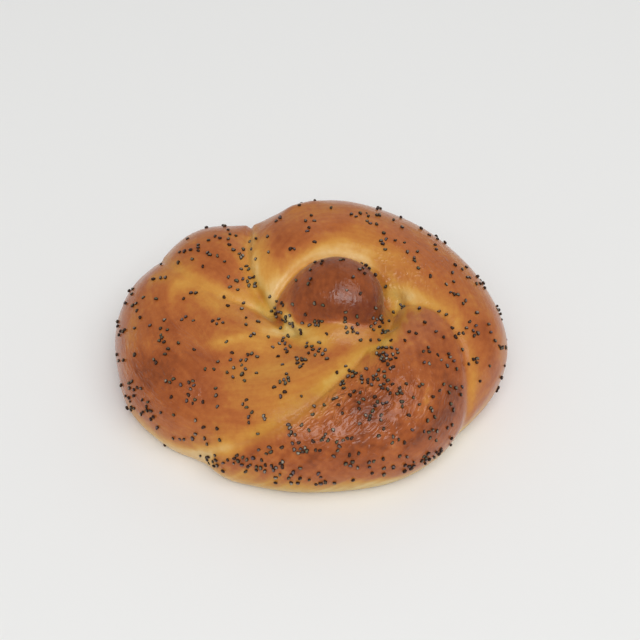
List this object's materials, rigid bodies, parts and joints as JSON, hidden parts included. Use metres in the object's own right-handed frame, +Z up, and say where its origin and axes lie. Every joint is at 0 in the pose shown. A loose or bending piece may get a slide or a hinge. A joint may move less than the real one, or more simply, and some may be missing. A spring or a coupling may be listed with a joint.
{
  "type": "poppy seed bun",
  "caption": "Round knotted bread roll, ropes of dough tucked round a central button into a flower, with seeds fused to its glazed crust and a flat base.",
  "frame": {"origin": "middle of the bun's box, on the surface that it rests on", "axes": "+Z up from the flat base, +X the wide way across, +Y towards the back rope, away from the side that the picture shows nearest"},
  "size_m": [0.107, 0.0882, 0.0411],
  "materials": {
    "baked_crust": "egg-washed wheat crust, deep brown on the ropes' crowns and golden beside the folds, semi-gloss",
    "poppy_seed": "dry blue-black poppy seed, finely pitted"
  },
  "bodies": {
    "root": {"bun": "baked_crust"}
  },
  "joints": []
}
